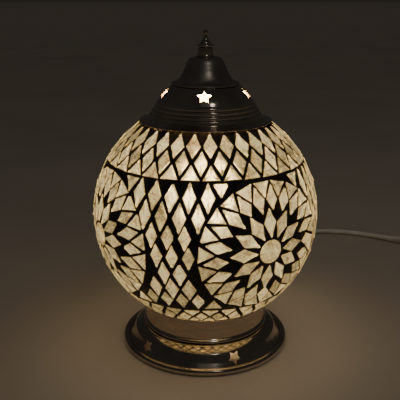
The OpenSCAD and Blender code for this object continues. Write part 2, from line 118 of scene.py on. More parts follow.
def finish_of(name, color, rough, metal=0.0, vary=0.12, scale=70.0, rough_vary=0.2,
              bump=0.05, bump_scale=600.0, stretch=(1, 1, 1), **fixed):
    """Colour mottling, uneven gloss and a fine bump, from noise in the object's own space."""
    mat, tree, shader = new_material(name)
    place = tree.nodes.new("ShaderNodeMapping")
    place.inputs["Scale"].default_value = stretch
    tree.links.new(object_space(tree), place.inputs["Vector"])
    broad = add_node(tree, "ShaderNodeTexNoise", Scale=scale, Detail=5.0)
    fine = add_node(tree, "ShaderNodeTexNoise", Scale=bump_scale, Detail=3.0)
    for noise in (broad, fine):
        tree.links.new(place.outputs[0], noise.inputs["Vector"])
    low, high = ([min(1, c * k) for c in color] for k in (1 - vary, 1 + vary))
    mottled = ramp(tree, broad.outputs[0], [(0.35, low), (0.65, high)])
    uneven = span(tree, broad.outputs[0], rough * (1 - rough_vary), rough * (1 + rough_vary))
    tree.links.new(mottled, shader.inputs["Base Color"])
    tree.links.new(uneven, shader.inputs["Roughness"])
    bumpy(tree, shader, fine.outputs[0], bump, 0.001)
    shader.inputs["Metallic"].default_value = metal
    for key, value in fixed.items():
        shader.inputs[key.replace("_", " ")].default_value = value
    return mat


TILE_PAINTED_GLOW = 0.54        # painted glow (emission) standing in for the bulb's light through the tiles, before a tile's own tone and its height change it
TILE_CLEAR = 0.42       # transmission
CLOUDS = [(0.36, (0.34, 0.25, 0.12)), (0.5, (0.72, 0.60, 0.35)), (0.66, (0.98, 0.83, 0.45))]
TONES = [(0.0, (0.86, 0.82, 0.75)), (0.5, (1.0, 0.98, 0.95)), (1.0, (1.0, 1.0, 1.0))]
# painted shade: each tile darker towards its edge, a nugget darker round its rim
PAINTED_EDGE_SHADE = [(0.0, (1, 1, 1)), (0.3, (0.88, 0.82, 0.72)), (1.0, (0.7, 0.58, 0.42))]


def tile_glass(name):
    """Cream glass with a painted glow standing in for the bulb's light behind it, on top of the light its
    transmission lets through: clouds, grain, brown flecks and a few cracks, each tile its own, with painted
    shade towards each tile's edge and the glow growing with height.
    """
    mat, tree, shader = new_material(name)
    own_space = object_space(tree)
    tone = tree.nodes.new("ShaderNodeAttribute")
    tone.attribute_name = "tone"
    edge = tree.nodes.new("ShaderNodeAttribute")
    edge.attribute_name = "edge"
    shift = tree.nodes.new("ShaderNodeVectorMath")
    shift.operation = "MULTIPLY_ADD"
    shift.inputs[1].default_value = (3.1, 7.7, 5.3)
    tree.links.new(tone.outputs["Fac"], shift.inputs[0])
    tree.links.new(own_space, shift.inputs[2])
    spot = shift.outputs[0]

    def noise(scale, detail=5.0, rough=0.6, distortion=0.0):
        added = add_node(tree, "ShaderNodeTexNoise", Scale=scale, Detail=detail, Roughness=rough,
                         Distortion=distortion)
        tree.links.new(spot, added.inputs["Vector"])
        return added.outputs[0]

    def mix(kind, share, first, second):
        added = tree.nodes.new("ShaderNodeMix")
        added.data_type = "RGBA"
        added.blend_type = kind
        for position, value in ((0, share), (6, first), (7, second)):
            socket = added.inputs[position]
            if isinstance(value, (float, tuple)):
                socket.default_value = value
            else:
                tree.links.new(value, socket)
        return added.outputs[2]

    clouds = ramp(tree, noise(150.0, 6.0, 0.7, 0.5), CLOUDS)
    grain = span(tree, noise(1300.0, 3.0, 0.7), 0.5, 1.2, (0.34, 0.6))
    seeds = add_node(tree, "ShaderNodeTexVoronoi", Scale=330.0)
    tree.links.new(spot, seeds.inputs["Vector"])
    flecks = span(tree, seeds.outputs["Distance"], 0.45, 1.0, (0.08, 0.24))
    cells = add_node(tree, "ShaderNodeTexVoronoi", Scale=46.0)
    cells.feature = "DISTANCE_TO_EDGE"
    tree.links.new(mix("MIX", 0.06, spot, noise(240.0, 3.0)), cells.inputs["Vector"])
    lines = span(tree, cells.outputs["Distance"], 0.35, 1.0, (0.004, 0.022))
    whole = span(tree, noise(22.0, 2.0), 1.0, 0.0, (0.52, 0.56))
    cracks = combine(tree, "MAXIMUM", lines, whole)

    color = mix("MULTIPLY", 1.0, clouds, ramp(tree, tone.outputs["Fac"], TONES))
    # grain, flecks and cracks are the glass's own; the last factor is painted shade towards the edge
    for factor in (grain, flecks, cracks, ramp(tree, edge.outputs["Fac"], PAINTED_EDGE_SHADE)):
        color = mix("MULTIPLY", 1.0, color, factor)
    tree.links.new(color, shader.inputs["Base Color"])
    # painted glow: the tile's colour, warmed, given off as emission in place of the bulb's light
    tree.links.new(mix("MULTIPLY", 1.0, color, (1.0, 0.95, 0.79, 1.0)), shader.inputs["Emission Color"])

    # painted light: the glow grows from the lower tiles to the upper ones, towards the bulb near the top
    height = tree.nodes.new("ShaderNodeSeparateXYZ")
    tree.links.new(own_space, height.inputs[0])
    by_tone = span(tree, tone.outputs["Fac"], 0.75 * TILE_PAINTED_GLOW, 1.6 * TILE_PAINTED_GLOW, (0.0, 1.0))
    painted_glow_by_height = span(tree, height.outputs["Z"], 1.0, 1.45, (0.06, 0.17))
    tree.links.new(combine(tree, "MULTIPLY", by_tone, painted_glow_by_height), shader.inputs["Emission Strength"])
    tree.links.new(span(tree, noise(60.0), 0.24, 0.42), shader.inputs["Roughness"])
    bumpy(tree, shader, noise(190.0, 4.0), 0.35, 0.0006)
    shader.inputs["Transmission Weight"].default_value = TILE_CLEAR
    shader.inputs["IOR"].default_value = 1.5
    shader.inputs["Coat Weight"].default_value = 0.35
    shader.inputs["Coat Roughness"].default_value = 0.12
    return mat


def lit_bulb(mat):
    """Links the glow to height: strongest on the upper dome and weak near the neck."""
    tree = mat.node_tree
    height = tree.nodes.new("ShaderNodeSeparateXYZ")
    tree.links.new(object_space(tree), height.inputs[0])
    glow = span(tree, height.outputs["Z"], 3, 75, (0.112, 0.155))
    tree.links.new(glow, tree.nodes["Principled BSDF"].inputs["Emission Strength"])
    return mat


# ---------------------------------------------------------------- materials
finishes = {
    "metal": finish_of("dark_metal", (0.60, 0.53, 0.46), 0.13, 1.0, 0.16, 45.0, bump=0.03,
                       bump_scale=420.0),
    "satin": finish_of("satin_metal", (0.56, 0.5, 0.45), 0.38, 1.0, 0.16, 45.0, bump=0.04,
                       bump_scale=420.0),
    "brushed": finish_of("brushed_metal", (0.68, 0.57, 0.47), 0.3, 1.0, 0.12, 40.0, bump=0.06,
                         bump_scale=300.0, stretch=(1, 1, 8)),
    "inside": finish_of("raw_metal", (0.66, 0.48, 0.28), 0.5, 0.4, 0.2, 60.0, bump=0.1),
    "zinc": finish_of("zinc_steel", (0.6, 0.6, 0.57), 0.3, 1.0, 0.1, 90.0),
    "brass": finish_of("brass", (0.78, 0.58, 0.28), 0.25, 1.0),
    "nickel": finish_of("nickel", (0.72, 0.69, 0.63), 0.2, 1.0, 0.06),
    "phenolic": finish_of("phenolic", (0.03, 0.028, 0.026), 0.4, bump=0.08),
    "porcelain": finish_of("porcelain", (0.82, 0.8, 0.74), 0.2, vary=0.05, Coat_Weight=0.3),
    "black_glass": finish_of("black_glass", (0.02, 0.02, 0.03), 0.1, vary=0.2),
    "brown": finish_of("brown_wire", (0.3, 0.14, 0.06), 0.45),
    "blue": finish_of("blue_wire", (0.08, 0.18, 0.5), 0.45),
    "cord": finish_of("white_cord", (0.80, 0.78, 0.73), 0.42, vary=0.06, scale=40.0, bump=0.12,
                      bump_scale=900.0),
    "plastic": finish_of("white_plastic", (0.82, 0.81, 0.77), 0.34, vary=0.03, scale=30.0, bump=0.1,
                         bump_scale=1500.0),
    "tie": finish_of("black_tie", (0.03, 0.03, 0.03), 0.45, bump=0.1),
    "plaster": finish_of("plaster", (0.75, 0.72, 0.66), 0.9, bump=0.5, bump_scale=260.0),
    "grout": finish_of("grout", (0.022, 0.018, 0.014), 0.5, vary=0.4, scale=220.0, bump=0.6,
                       bump_scale=900.0),
    "glass": finish_of("globe_glass", (0.96, 0.95, 0.91), 0.05, vary=0.01, bump=0.03, bump_scale=60.0,
                       Transmission_Weight=1.0, IOR=1.45),
    "bulb": lit_bulb(finish_of("frosted_bulb", (0.95, 0.93, 0.88), 0.5, vary=0.03, bump=0.05,
                               bump_scale=2500.0, Emission_Color=(1.0, 0.82, 0.52, 1))),
    "filament": finish_of("filament", (1.0, 0.85, 0.5), 0.5, Emission_Color=(1.0, 0.7, 0.3, 1),
                          Emission_Strength=6.0),
    "tile": tile_glass("tile_glass"),
    "tile_back": finish_of("tile_back", (0.95, 0.88, 0.72), 0.12, vary=0.03, bump=0.1, bump_scale=120.0,
                           Transmission_Weight=1.0, IOR=1.5),
}


# ---------------------------------------------------------------- outlines
def rounded(line, times=2, cut=0.25):
    """Corner cutting of an open line that keeps its ends."""
    for _ in range(times):
        out = [line[0]]
        for a, b in zip(line, line[1:]):
            out.append((a[0] + (b[0] - a[0]) * cut, a[1] + (b[1] - a[1]) * cut))
            out.append((b[0] - (b[0] - a[0]) * cut, b[1] - (b[1] - a[1]) * cut))
        out.append(line[-1])
        line = out
    return line


def wall(line, thickness):
    """The line and its offset to the right, as one closed profile."""
    back = []
    for i, (r, z) in enumerate(line):
        before = line[max(i - 1, 0)]
        after = line[min(i + 1, len(line) - 1)]
        dr, dz = after[0] - before[0], after[1] - before[1]
        length = math.hypot(dr, dz) or 1
        back.append((r + thickness * dz / length, z - thickness * dr / length))
    return line + back[::-1]


def from_globe(line):
    """Heights given from the globe's centre, made heights above the table."""
    return [(r, z + GLOBE_Z) for r, z in line]


def arc(centre, radius, start, end, steps):
    angles = [math.radians(start + (end - start) * i / steps) for i in range(steps + 1)]
    return [(centre[0] + radius * math.cos(a), centre[1] + radius * math.sin(a)) for a in angles]


def along(route, steps):
    """Points of a Catmull-Rom curve through a route, with the same number of steps in each span."""
    route = [np.array(point, float) for point in route]
    last = len(route) - 1
    out = []
    for i in range(last):
        a, b, c, d = route[max(i - 1, 0)], route[i], route[i + 1], route[min(i + 2, last)]
        for j in range(steps):
            t = j / steps
            out.append(0.5 * (2 * b + (c - a) * t + (2 * a - 5 * b + 4 * c - d) * t * t
                              + (3 * b - a - 3 * c + d) * t ** 3))
    return out + [route[last]]


def rot_x(angle):
    c, s = math.cos(angle), math.sin(angle)
    return np.array([[1, 0, 0], [0, c, -s], [0, s, c]])


def rot_z(angle):
    c, s = math.cos(angle), math.sin(angle)
    return np.array([[c, -s, 0], [s, c, 0], [0, 0, 1]])


# ---------------------------------------------------------------- pieces
def face_outwards(mesh):
    edit = bmesh.new()
    edit.from_mesh(mesh)
    bmesh.ops.recalc_face_normals(edit, faces=edit.faces)
    edit.to_mesh(mesh)
    edit.free()


def enter(ob, body, stands_for):
    """Puts a piece in the scene, in place of CAD nodes and body."""
    scene.collection.objects.link(ob)
    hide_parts(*stands_for)
    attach(ob, body)
    return ob


def piece(name, verts, faces, mats, body, stands_for, sharp=SHARP, index=None,
          attributes=None):
    mesh = bpy.data.meshes.new(name)
    mesh.from_pydata([[c * MM for c in v] for v in verts], [], faces)
    for mat in mats:
        mesh.materials.append(finishes[mat])
    if index is not None:
        mesh.polygons.foreach_set("material_index", index)
    for key, values in (attributes or {}).items():
        attribute = mesh.attributes.new(key, "FLOAT", "POINT")
        attribute.data.foreach_set("value", np.array(values, np.float32))
    face_outwards(mesh)
    mesh.shade_smooth()
    mesh.set_sharp_from_angle(angle=math.radians(sharp))
    return enter(bpy.data.objects.new(name, mesh), body, stands_for)


def curve(name, points, radius, mat, body, stands_for, roundness=6):
    data = bpy.data.curves.new(name, "CURVE")
    data.dimensions = "3D"
    data.bevel_depth = radius * MM
    data.bevel_resolution = roundness
    data.use_fill_caps = True
    data.twist_mode = "MINIMUM"
    spline = data.splines.new("POLY")
    spline.points.add(len(points) - 1)
    for target, (x, y, z) in zip(spline.points, points):
        target.co = (x * MM, y * MM, z * MM, 1)
    spline.use_smooth = True
    data.materials.append(finishes[mat])
    return enter(bpy.data.objects.new(name, data), body, stands_for)


def lathe(profile, sides):
    """A closed profile of (r, z) turned about Z: vertices, faces and the profile step of each face."""
    verts, rings, faces, steps = [], [], [], []
    for r, z in profile:
        first = len(verts)
        if r < 1e-4:
            verts.append((0, 0, z))
            rings.append([first] * sides)
        else:
            angles = [2 * math.pi * k / sides for k in range(sides)]
            verts += [(r * math.sin(a), -r * math.cos(a), z) for a in angles]
            rings.append(list(range(first, first + sides)))
    for i, lower in enumerate(rings):
        upper = rings[(i + 1) % len(rings)]
        if lower[0] == lower[1] and upper[0] == upper[1]:
            continue
        for k in range(sides):
            after = (k + 1) % sides
            faces.append(list(dict.fromkeys([lower[k], lower[after], upper[after], upper[k]])))
            steps.append(i)
    return verts, faces, steps


def pierce(ob, name, cutters):
    """Cuts the pegs out of a piece for good and removes them."""
    for cutter in cutters:
        cut = ob.modifiers.new("cut", "BOOLEAN")
        cut.operation = "DIFFERENCE"
        cut.solver = "EXACT"
        cut.object = cutter
    bpy.context.view_layer.update()
    mesh = bpy.data.meshes.new_from_object(ob.evaluated_get(bpy.context.evaluated_depsgraph_get()))
    ob.modifiers.clear()
    ob.data = mesh
    mesh.name = name
    mesh.shade_smooth()
    mesh.set_sharp_from_angle(angle=math.radians(SHARP))
    for cutter in cutters:
        bpy.data.objects.remove(cutter)


def turned(name, profile, mats, body, stands_for, sides=160, inner=None, cutters=()):
    """A lathe piece; the profile's steps from inner onwards get the second material."""
    verts, faces, steps = lathe(profile, sides)
    index = [1 if inner is not None and step >= inner else 0 for step in steps]
    ob = piece(name, verts, faces, mats, body, stands_for, index=index)
    if cutters:
        pierce(ob, name, cutters)
    return ob


def star_cutters(angles, r, z, tilt, size, point_down):
    """Star-shaped pegs through a sloping wall, size mm from the centre to a point."""
    start = 180 if point_down else 0
    star = []
    for k in range(10):
        a = math.radians(36 * k + start)
        reach = size if k % 2 == 0 else 0.55 * size
        star.append((reach * math.sin(a), reach * math.cos(a)))
    faces = [list(range(9, -1, -1)), list(range(10, 20))]
    faces += [[k, (k + 1) % 10, 10 + (k + 1) % 10, 10 + k] for k in range(10)]
    pegs = []
    for angle in angles:
        around = rot_z(math.radians(angle))
        facing = around @ rot_x(math.radians(90 - tilt))
        centre = around @ np.array([0, -r, z])
        verts = [centre + facing @ np.array([x, y, h]) for h in (-6, 6) for x, y in star]
        mesh = bpy.data.meshes.new("cutter")
        mesh.from_pydata([list(v * MM) for v in verts], [], faces)
        face_outwards(mesh)
        peg = bpy.data.objects.new("cutter", mesh)
        scene.collection.objects.link(peg)
        pegs.append(peg)
    return pegs


# ---------------------------------------------------------------- cord
CORD_R = 3
SWITCH = (291, 206)
SWITCH_TURN = math.radians(-45)
SWITCH_END = 33         # from the switch's middle to the place where the cord enters it
SWITCH_Z = 9
COIL = (284, 122)
COIL_R = 42.5
COIL_PITCH = 6
TURN_STEPS = 26         # points in one turn
LAYER_Z = (3.4, 9.4)    # heights of the coil's two layers
LEAD = [(0, 104, 11.5), (0, 118, 11.3), (1, 132, 8.4), (4, 147, 4.8), (10, 165, 3), (22, 190, 3),
        (40, 217, 3), (64, 242, 3), (94, 264, 3), (127, 277, 3), (161, 281, 3), (193, 277, 3),
        (222, 266, 3), (246, 249, 4.4), (259, 238, 7.2)]
LINK = [(321, 175, 6.6), (325, 165, 4), (326.6, 152, 3.4), (326.6, 137, 3.4)]
COIL_START = (326.5, 122, 3.4)
TAIL = [(326.5, 122, 9.4), (326.5, 108, 8.2), (326.5, 96, 6.9), (326.5, 84, 6.85)]


def switch_end(side):
    reach = side * SWITCH_END
    return (SWITCH[0] + reach * math.cos(SWITCH_TURN), SWITCH[1] + reach * math.sin(SWITCH_TURN), SWITCH_Z)


def coil_turns():
    """Three turns inwards on the table, half a turn up, and two and a half outwards on top."""
    low, high = LAYER_Z
    narrow = COIL_R - 3 * COIL_PITCH
    out = []
    for i in range(1, 6 * TURN_STEPS):
        t = i / TURN_STEPS
        if t < 3:
            r, z = COIL_R - COIL_PITCH * t, low
        elif t < 3.5:
            s = (t - 3) / 0.5
            r, z = narrow - 0.9 * math.sin(math.pi * s), low + (high - low) * s * s * (3 - 2 * s)
        else:
            r, z = narrow + 1.2 * COIL_PITCH * (t - 3.5), high
        out.append((COIL[0] + r * math.cos(2 * math.pi * t), COIL[1] - r * math.sin(2 * math.pi * t), z))
    return out


lead_line = along(LEAD + [switch_end(-1)], 3)
link_line = along([switch_end(1)] + LINK + [COIL_START], 4)
coil_line = link_line + coil_turns() + along(TAIL, 3)
lead = curve("lead_to_switch", lead_line, CORD_R, "cord", "lamp", ["cord_lead"])
wound = curve("wound_lead", coil_line, CORD_R, "cord", "lamp", ["cord_link", "cord_coil", "cord_tail"])

# ---------------------------------------------------------------- plug and tie
PLUG = (326.5, 76, 6.85)
# Each section: place along Y from the plug's origin, half width, half height, squareness
PLUG_SECTIONS = [(8, 4.2, 4.2, 2), (3, 4.4, 4.4, 2), (0, 5, 4.9, 2.1), (-5, 7, 5.6, 2.2),
                 (-12, 11.6, 6.4, 2.5), (-18, 14.4, 6.8, 2.7), (-24, 16.2, 6.85, 2.9),
                 (-30, 17.2, 6.85, 3), (-35, 17.2, 6.8, 3), (-36.2, 16.6, 6.2, 3)]


def plug():
    """A flat two-pin plug: a run of rounded sections from the cord to the pin face."""
    sides = 40
    verts, faces = [], []
    for y, half_width, half_height, square in PLUG_SECTIONS:
        for k in range(sides):
            a = 2 * math.pi * k / sides
            c, s = math.cos(a), math.sin(a)
            x = half_width * math.copysign(abs(c) ** (2 / square), c)
            z = half_height * math.copysign(abs(s) ** (2 / square), s)
            verts.append((PLUG[0] + x, PLUG[1] + y, PLUG[2] + z))
    for first in range(0, (len(PLUG_SECTIONS) - 1) * sides, sides):
        for k in range(sides):
            after = (k + 1) % sides
            faces.append([first + k, first + after, first + sides + after, first + sides + k])
    faces += [list(range(sides))[::-1], list(range(len(verts) - sides, len(verts)))]
    return piece("plug_shell", verts, faces, ["plastic"], "lamp", ["plug_body"], 50)


def tie():
    """A flat strap round one side of the coil, with rounded corners."""
    x0, x1, z0, z1 = COIL[0] - 46.3, COIL[0] - 20.7, 0.18, 13.0
    wide, tight = 3.2, 1
    half_width, half_thick, lowest = 2.5, 0.17, 0.02
    corners = ((x1 - wide, z1 - wide, wide, 0), (x0 + wide, z1 - wide, wide, 90),
               (x0 + tight, z0 + tight, tight, 180), (x1 - tight, z0 + tight, tight, 270))
    path = [p for x, z, radius, start in corners for p in arc((x, z), radius, start, start + 90, 6)]
    middle = ((x0 + x1) / 2, (z0 + z1) / 2)
    verts, faces = [], []
    for y in (-half_width, half_width):
        for t in (half_thick, -half_thick):
            for x, z in path:
                dx, dz = x - middle[0], z - middle[1]
                d = math.hypot(dx, dz)
                verts.append((x + t * dx / d, COIL[1] + y, max(z + t * dz / d, lowest)))
    n = len(path)
    for k in range(n):
        q = (k + 1) % n
        faces += [[k, q, 2 * n + q, 2 * n + k], [n + k, 3 * n + k, 3 * n + q, n + q],
                  [k, n + k, n + q, q], [2 * n + k, 2 * n + q, 3 * n + q, 3 * n + k]]
    return piece("tie_strap", verts, faces, ["tie"], "lamp", ["coil_tie"], 40)


plug_shell = plug()
strap = tie()

# ---------------------------------------------------------------- cord inside the base
INLET_Z = 11.5
BEND_R = 24
bend = [(0, BEND_R * (1 - math.sin(math.radians(a))), 30 - BEND_R * math.cos(math.radians(a)))
        for a in range(0, 91, 10)]
inner_route = [(0, 104, INLET_Z), (0, 80, INLET_Z), (0, 58, INLET_Z), (0, 46, 10), (0, 35, 7.2)]
inner_route += bend + [(0, 0, 36), (0, 0, 44)]
curve("lead_inside", along(inner_route, 3), CORD_R, "cord", "lamp", ["inner_lead"])
for side, name, mat in ((1, "wire_live", "brown"), (-1, "wire_neutral", "blue")):
    wire_line = ((1.5, 44.2), (1.8, 46.4), (4.6, 48.8), (8.2, 50.2), (9, 52.6))
    wire_route = [(side * x, 0, z) for x, z in wire_line]
    curve(name + "_run", along(wire_route, 4), 1.1, mat, "lamp", [name], 3)


def bush():
    """A strain relief with ribs round its taper, turned along the cord."""
    bore = 3.05
    profile = [(bore, 56), (4.4, 56), (4.4, 69.5), (5, 69.6), (5, 71.2), (4.7, 71.8)]
    for y in range(74, 100, 3):
        r = 4.65 - 0.9 * (y - 74) / 28
        profile += [(r, y), (r, y + 1.9), (r - 0.45, y + 2.1), (r - 0.45, y + 2.9)]
    profile += [(3.75, 103.3), (3.5, 104), (bore, 104)]
    verts, faces, _ = lathe(profile, 40)
    verts = [(x, z, INLET_Z - y) for x, y, z in verts]
    piece("bush_ribbed", verts, faces, ["cord"], "lamp", ["cord_bush"], 40)


bush()

# ---------------------------------------------------------------- base
ROLL = (74.2, 3.1)      # centre of the rolled rim
ROLL_R = 3.1
base_line = [(54.4, 27.5), (54.4, 20.8), (55.2, 20.1), (57.4, 20), (58.7, 19.7), (59.4, 19.1), (61, 18.2),
             (62.8, 17), (64.4, 15.75), (65.6, 14.7), (66.3, 13.2), (67.4, 10.8), (68.7, 8.6), (69.7, 7.4),
             (71.65, 5)]
base_line = (rounded(base_line) + arc(ROLL, ROLL_R, 142, -50, 20) + [(75.8, 0), (72.6, 0)]
             + arc(ROLL, ROLL_R, -140, -185, 5))
base_stars = star_cutters([22 + 72 * i for i in range(5)], 67.3, 10.6, 30, 6.3, True)
turned("base_spun", wall(base_line, SHEET), ["metal", "inside"], "lamp", ["base_flange"],
       192, inner=len(base_line), cutters=base_stars)

collar_line = rounded([(55.5, 41.4), (55.5, 38), (55.5, 30), (55.5, 24.6), (55.6, 24.2), (57.3, 22.6),
                       (57.6, 21.9), (57.5, 21.1), (57, 20.7), (56.2, 20.55), (55.5, 20.5)])
collar = turned("collar_spun", wall(collar_line, SHEET), ["brushed", "inside", "metal"], "lamp",
                ["base_collar"], inner=len(collar_line))
BEAD_TOP = 0.0244       # metres; below this the collar is polished, not brushed
for face in collar.data.polygons:
    if face.material_index == 0 and face.center.z < BEAD_TOP:
        face.material_index = 2

# ---------------------------------------------------------------- cap, with heights from the globe's centre
FRONT_STAR = -2
STAR_GAP = 77           # from the front star to each of its neighbours
star_share = (360 - 2 * STAR_GAP) / 3
ridges = []
for i in range(4):
    r, z = 40.6 + 2 * i, 100.6 - 3.25 * i
    ridges += [(r, z), (r + 1.6, z - 0.5), (r + 2.3, z - 1.7), (r + 2.0, z - 2.9)]
shoulder = [(3.6, 114.2), (26, 114.2), (28.6, 114.1), (29.8, 113.7), (30.9, 112.7), (33, 110.9),
            (35.5, 108.4), (38, 105.3), (39.8, 102.4)]
brim = [(48.6, 87.4), (50.6, 86.4), (53.4, 85.4), (56, 84.8), (57.3, 84.5), (57.75, 83.9), (57.3, 83.2)]
dome_line = from_globe(rounded(shoulder + ridges + brim))
cap_stars = star_cutters([FRONT_STAR] + [FRONT_STAR + STAR_GAP + i * star_share for i in range(4)],
                         35.6, GLOBE_Z + 108.2, 40, 6.2, False)
turned("cap_spun", wall(dome_line, SHEET), ["metal", "inside"], "cap", ["cap_dome"], 192,
       inner=len(dome_line), cutters=cap_stars)

bell_line = [(3.6, 137.4), (11, 137.4), (13.6, 136.2), (15.5, 133.6), (17, 130), (19, 125.2), (22.2, 119.8),
             (24.6, 117.4), (27, 116.5), (28.8, 116.1), (29.4, 115.4), (29.2, 114.5), (28.8, 114.25)]
bell_line = from_globe(rounded(bell_line, 3))
turned("bell_spun", wall(bell_line, 0.6), ["satin", "inside"], "cap", ["cap_bell"],
       inner=len(bell_line))

neck_line = [(3.1, 145), (6.0, 145), (6.5, 144.6), (6.55, 140.4), (6.45, 139.7), (6.9, 139.2), (7.3, 138.4),
             (7.2, 137.6), (6.9, 137.45), (3.1, 137.45)]
turned("neck_turned", from_globe(rounded(neck_line)), ["metal"], "cap", ["cap_neck"], 96)

FINIAL_BORE_TOP = 148.6
finial_line = [(3.05, FINIAL_BORE_TOP), (3.05, 145.15), (5.6, 145.15), (6.3, 145.3), (6.9, 146.1),
               (6.9, 147.1), (6.3, 147.9), (5.2, 148.2), (4.7, 148.6), (4.4, 149.4), (3.4, 150.8),
               (2.6, 151.6), (2.1, 152.8), (1.6, 154.2), (1.5, 155)]
finial_line += arc((0, 157.4), 2.2, -44, 86, 14) + [(0, 159.6)]
finial_line = from_globe(rounded(finial_line)) + from_globe([(0, FINIAL_BORE_TOP)])
turned("finial_turned", finial_line, ["metal"], "finial", ["finial"], 96)

# ---------------------------------------------------------------- globe
foot = math.degrees(math.acos(42 / GLASS_R))
mouth = math.degrees(math.acos(45 / GLASS_R))
outside = arc((0, 0), GLASS_R, -foot, mouth, 90)
inside = arc((0, 0), GLASS_R - GLASS_WALL, mouth - 0.9, -foot + 0.9, 90)
turned("globe_blown", from_globe(outside + inside), ["glass"], "lamp", ["glass_globe"], 180)

# ---------------------------------------------------------------- bulb
BULB_Z = 145            # centre of the round part
BULB_R = 30
BULB_WALL = 0.6
neck = rounded([(28.2, -10.3), (25.4, -17.5), (20.4, -27), (16.6, -37), (14.4, -46), (13.8, -52)], 3)
bulb_line = [(r, z + BULB_Z) for r, z in arc((0, 0), BULB_R, 90, -20, 40)[:-1] + neck]
bulb_inside = [(r - BULB_WALL, z) for r, z in bulb_line[::-1] if r > BULB_WALL]
turned("bulb_envelope", bulb_line + bulb_inside + [(0, BULB_Z + BULB_R - BULB_WALL)], ["bulb"], "bulb",
       ["bulb_glass"], 96)

screw_line = [(12.4, -76.5), (13.0, -75)]
for i in range(5):
    z = -73.5 + i * 3.6
    screw_line += [(12.6, z), (13.2, z + 1), (13.2, z + 1.9), (12.6, z + 2.9)]
screw_line = rounded(screw_line + [(13.0, -54.6), (13.2, -52.4)])
screw_line = [(0, -76.5)] + screw_line + [(12.3, -52.4), (12.0, -75.8), (0, -75.8)]
turned("bulb_screw_cap", [(r, z + BULB_Z) for r, z in screw_line], ["nickel"], "bulb", ["bulb_shell"],
       96)

# ---------------------------------------------------------------- mosaic layout
COLUMNS = 32            # diamonds round the globe in each band
ROSETTES = 4
ROSETTE_AZ = 31
ROSETTE_LAT = -3.5
ROSETTE_STEP = 88.5
PETALS = 21
# Each row: how many, degrees apart, shift, latitude, half height in degrees, half width in mm
LATTICE = [(5, 8.9, -0.7, 23.3, 6.7, 5.4), (4, 8.7, -0.4, 14.2, 6.6, 5.4), (3, 7.9, -1.3, 5.2, 5.6, 5),
           (3, 7.6, 0.7, -4.1, 5.7, 4.9), (2, 7.8, 0.1, -12.8, 5.9, 5.1), (3, 8.7, -0.7, -21.6, 6.2, 5.6),
           (4, 8.7, -0.8, -29.6, 5.2, 5.2)]
LATTICE_SQUEEZE = 0.79  # for the three lattices outside the widest gap, which is the one in front
# Each corner triangle: azimuth from the rosette, latitude, top, bottom, half width
CORNERS = [(-23.6, 26.2, -3.2, -3.5, 6.4), (21.8, 26.2, -3.2, -3.5, 6.4), (-26.8, -32.4, 3.7, 2.7, 6.6),
           (25.6, -32.4, 3.7, 2.7, 6.6)]


def on_globe(az, lat):
    """A tile's frame: x to its right, y up and z out of the globe, as columns."""
    return rot_z(math.radians(az)) @ rot_x(math.radians(90 - lat))


def in_rosette(k, psi, rho):
    """The frame of a tile rho degrees from the rosette's middle, in the direction psi."""
    middle = on_globe(ROSETTE_AZ + ROSETTE_STEP * k, ROSETTE_LAT)
    return middle @ rot_z(-math.radians(psi)) @ rot_x(-math.radians(rho))


def mm_of(degrees):
    return TILE_R * math.sin(math.radians(degrees))


def kite(top, low, half):
    return [(0, mm_of(top)), (half, 0), (0, -mm_of(low)), (-half, 0)]


def wedge(top, low, half):
    return [(0, mm_of(top)), (half, -mm_of(low)), (-half, -mm_of(low))]


def band_row(lat, shift, outline):
    return [(on_globe((i + shift) * 360 / COLUMNS, lat), outline) for i in range(COLUMNS)]


def ring(count, shift, rho, outline, flat=0.06):
    """Petals in a slightly flattened ring round each rosette; outline is a function of the angle."""
    out = []
    for k in range(ROSETTES):
        for i in range(count):
            psi = (i + shift) * 360 / count
            reach = rho * (1 - flat * math.cos(math.radians(psi)) ** 2)
            out.append((in_rosette(k, psi, reach), outline(psi)))
    return out


def middle_petal(psi):
    """The inner point reaches further in where it lies between two petals of the inner ring."""
    return kite(6.8, 4.1 + 0.2 * abs((psi + 15.9) % 30 - 15), 5.5)


def lattice():
    out = []
    for k in range(ROSETTES):
        here = ROSETTE_AZ + ROSETTE_STEP * k
        middle, squeeze = here + ROSETTE_STEP / 2, LATTICE_SQUEEZE
        if k == ROSETTES - 1:
            middle, squeeze = here + (360 - (ROSETTES - 1) * ROSETTE_STEP) / 2, 1
        for count, pitch, shift, lat, tall, half in LATTICE:
            for i in range(count):
                az = middle + squeeze * (pitch * (i - (count - 1) / 2) + shift)
                out.append((on_globe(az, lat), kite(tall, tall, half * squeeze)))
        for az, lat, top, low, half in CORNERS:
            out.append((on_globe(here + az, lat), wedge(top, low, half)))
    return out


disc = [(10.3 * math.cos(math.radians(a)), 10.3 * math.sin(math.radians(a))) for a in range(0, 360, 12)]
MOSAIC = {
    "top_diamonds": band_row(48, 0.25, kite(6.9, 6.6, 5.6)) + band_row(39.4, 0.75, kite(5.8, 6.3, 5.5)),
    "top_triangles": band_row(34, 0.25, wedge(4.4, 2.8, 7.3)),
    "lattice_tiles": lattice(),
    "rosette_discs": [(in_rosette(k, 0, 0), disc) for k in range(ROSETTES)],
    "rosette_inner": ring(12, -0.03, 13.6, lambda psi: kite(6.4, 6.4, 5.4), 0),
    "rosette_middle": ring(PETALS, 0.33, 25.9, middle_petal),
    "rosette_outer": ring(PETALS, 0.83, 31.4, lambda psi: wedge(-4.6, -3.3, 7.7)),
    "bottom_triangles": (band_row(-40.5, 0.25, wedge(-3.6, -2.5, 6.6))
                         + band_row(-50, 0.25, wedge(3, 2.6, 4.6))),
    "bottom_diamonds": band_row(-45.6, 0.75, kite(5.3, 5.6, 5)),
}
# How far each outline is moved inwards; below zero it grows
TRIM = {"top_diamonds": -0.1, "top_triangles": -0.05, "lattice_tiles": -0.25, "rosette_discs": 0,
        "rosette_inner": -0.3, "rosette_middle": 0.08, "rosette_outer": 0.25, "bottom_triangles": 0.05,
        "bottom_diamonds": 0.05}
